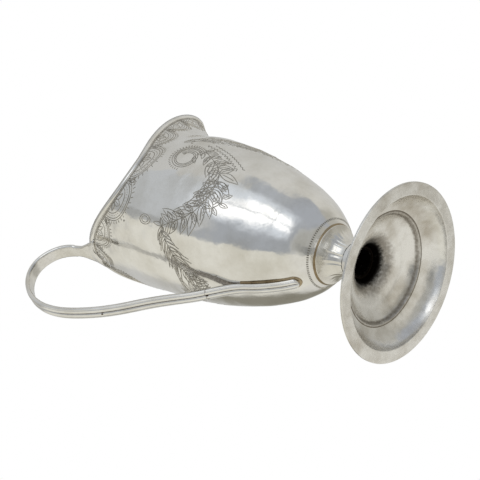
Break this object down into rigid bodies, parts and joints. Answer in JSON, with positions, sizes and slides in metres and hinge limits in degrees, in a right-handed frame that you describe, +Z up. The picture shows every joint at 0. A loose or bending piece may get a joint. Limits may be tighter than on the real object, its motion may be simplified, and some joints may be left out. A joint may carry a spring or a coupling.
{
  "type": "helmet-shaped cream jug",
  "caption": "Silver cream jug on a stepped round foot, with an egg-shaped bowl, a long pouring lip and a looped strap handle.",
  "frame": {"origin": "centre of the foot's underside, on the surface that the jug stands on", "axes": "+Z up along the axis of the foot and bowl, +X towards the pouring lip, -X towards the handle, XZ is the plane of symmetry"},
  "size_m": [0.1109, 0.064, 0.151],
  "materials": {
    "polished_silver": "hand polished, slightly uneven",
    "dull_silver": "dull, hammered and lightly stained underneath",
    "tarnished_solder": "tarnished"
  },
  "bodies": {
    "root": {"bowl": "polished_silver", "rim_wire": "polished_silver", "handle_strap": "polished_silver", "handle_upper_solder": "tarnished_solder", "handle_lower_solder": "tarnished_solder", "stem_collar": "polished_silver", "collar_solder": "tarnished_solder", "foot": "dull_silver", "foot_wire": "polished_silver", "neck_solder": "tarnished_solder", "foot_wire_solder": "tarnished_solder"}
  },
  "joints": []
}
